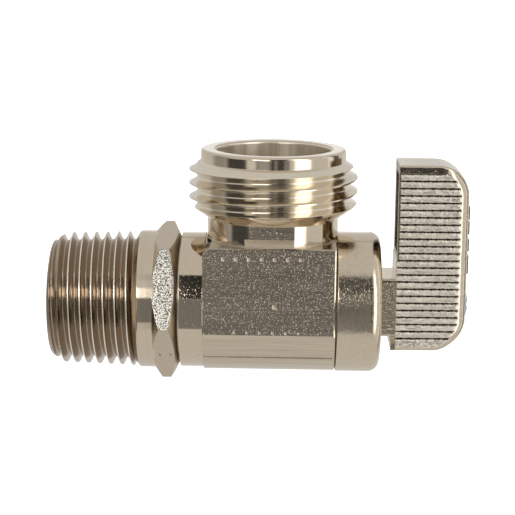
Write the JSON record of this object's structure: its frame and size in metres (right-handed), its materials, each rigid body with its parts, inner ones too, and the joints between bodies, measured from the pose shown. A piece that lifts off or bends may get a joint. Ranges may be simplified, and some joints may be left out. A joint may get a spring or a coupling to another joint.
{
  "type": "angle stop valve",
  "caption": "Quarter-turn angle stop valve with a tapered male pipe inlet, a male hose outlet and a ribbed wedge lever, shown open.",
  "frame": {"origin": "centre of the inlet's end face, where the valve screws into the pipe", "axes": "+X along the inlet axis to the lever; +Z along the outlet axis; +Y away from the side that shows the lever's ribs with the inlet on the left"},
  "size_m": [0.0666, 0.0268, 0.0366],
  "materials": {
    "forged_nickel": "nickel-plated forged and turned brass, satin",
    "turned_nickel": "nickel-plated turned brass, bright",
    "cast_nickel": "nickel-plated zinc die casting, satin",
    "ball_chrome": "polished plating",
    "plain_brass": "turned, unplated",
    "screw_steel": "zinc-plated",
    "seat_plastic": "white fluoropolymer",
    "seal_rubber": "black nitrile, smooth"
  },
  "bodies": {
    "housing": {"valve_body": "forged_nickel", "inlet_adapter": "turned_nickel", "adapter_o_ring": "seal_rubber", "inlet_seat": "seat_plastic", "inlet_seat_o_ring": "seal_rubber", "outlet_seat": "seat_plastic", "outlet_seat_o_ring": "seal_rubber", "outlet_seat_retainer": "plain_brass", "stem_thrust_washer": "seat_plastic"},
    "stem_and_lever": {"stem": "plain_brass", "stem_o_ring_inner": "seal_rubber", "stem_o_ring_outer": "seal_rubber", "lever": "cast_nickel", "lever_screw": "screw_steel", "lever_lock_washer": "screw_steel"},
    "ball": {"ball": "ball_chrome"}
  },
  "joints": [
    {"name": "stem_turn", "type": "hinge", "parent": "housing", "child": "stem_and_lever", "pos_m": [0.044, 0, 0], "axis": [-1, 0, 0], "range_deg": [0, 90]},
    {"name": "ball_turn", "type": "hinge", "parent": "housing", "child": "ball", "pos_m": [0.0352, 0, 0], "axis": [-1, 0, 0], "range_deg": [0, 90]}
  ],
  "couplings": [
    {"joint": "ball_turn", "follows": "stem_turn", "ratio": 1}
  ]
}
